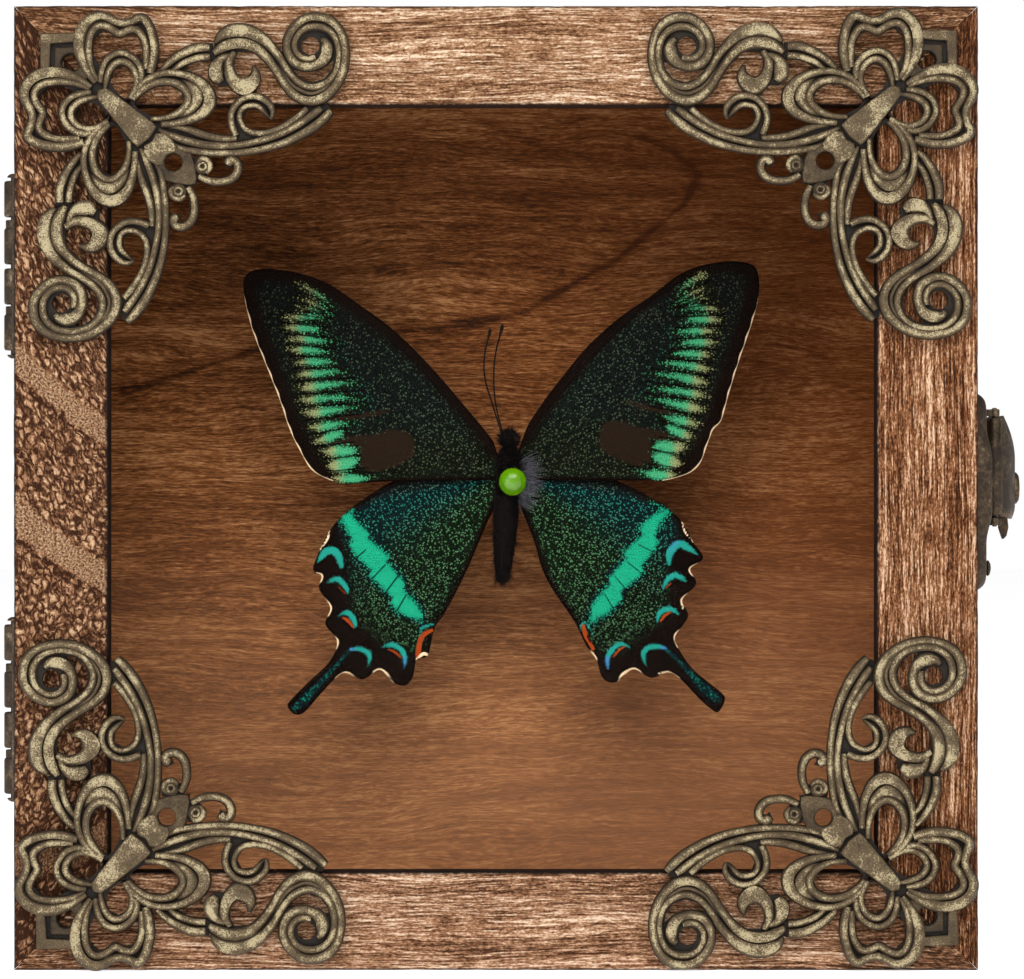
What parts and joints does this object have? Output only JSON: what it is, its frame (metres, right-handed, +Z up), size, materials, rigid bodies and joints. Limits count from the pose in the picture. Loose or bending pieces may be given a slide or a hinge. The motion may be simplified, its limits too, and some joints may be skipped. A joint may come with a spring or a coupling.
{
  "type": "framed butterfly specimen",
  "caption": "Square wooden display box with a hinged glazed lid, filigree corner castings and a spread swallowtail butterfly on a pin inside.",
  "frame": {"origin": "middle of the bottom face of the box, on which it stands", "axes": "+Z up, front with the glazed lid towards -Y, +X to the right seen from the front"},
  "size_m": [0.1617, 0.047, 0.15],
  "materials": {
    "box_wood": "scorched and brushed, matt",
    "lid_wood": "scorched and brushed, matt",
    "veneer": "dark fine veneer, satin",
    "glass": "clear polished",
    "brass": "antique, dark in the hollows",
    "hardware": "dark bronzed steel",
    "nail": "dark, domed",
    "wing": "scaled wing, soft sheen",
    "fur": "fine dark hair",
    "antenna": "dark horn",
    "steel": "fine drawn wire",
    "pin_head": "clear bright gloss"
  },
  "bodies": {
    "box": {"box_board_top": "box_wood", "box_board_right": "box_wood", "box_board_bottom": "box_wood", "box_board_left": "box_wood", "backing_board": "veneer", "hinge_upper_box_leaf": "hardware", "hinge_upper_pin": "hardware", "hinge_lower_box_leaf": "hardware", "hinge_lower_pin": "hardware", "hinge_nail_upper_box_low": "nail", "hinge_nail_upper_box_high": "nail", "hinge_nail_lower_box_low": "nail", "hinge_nail_lower_box_high": "nail", "clasp_box_plate": "hardware", "clasp_nail_box_low": "nail", "clasp_nail_box_high": "nail", "butterfly_body": "fur", "forewing_left": "wing", "forewing_right": "wing", "hindwing_left": "wing", "hindwing_right": "wing", "antenna_left": "antenna", "antenna_right": "antenna", "insect_pin": "steel", "pin_head": "pin_head"},
    "lid": {"lid_rail_top": "lid_wood", "lid_rail_right": "lid_wood", "lid_rail_bottom": "lid_wood", "lid_rail_left": "lid_wood", "glass_pane": "glass", "corner_casting_top_left": "brass", "corner_casting_top_right": "brass", "corner_casting_bottom_right": "brass", "corner_casting_bottom_left": "brass", "hinge_upper_lid_leaf": "hardware", "hinge_lower_lid_leaf": "hardware", "hinge_nail_upper_lid_low": "nail", "hinge_nail_upper_lid_high": "nail", "hinge_nail_lower_lid_low": "nail", "hinge_nail_lower_lid_high": "nail", "clasp_lid_plate": "hardware", "clasp_pin": "hardware", "clasp_nail_lid_low": "nail", "clasp_nail_lid_high": "nail"},
    "flap": {"clasp_flap": "hardware"}
  },
  "joints": [
    {"name": "lid_hinge", "type": "hinge", "parent": "box", "child": "lid", "pos_m": [-0.0767, -0.00835, 0.075], "axis": [0, 0, -1], "range_deg": [0, 175]},
    {"name": "clasp_flap_hinge", "type": "hinge", "parent": "lid", "child": "flap", "pos_m": [0.0789, -0.0112, 0.0783], "axis": [0, 0, -1], "range_deg": [0, 100]}
  ]
}
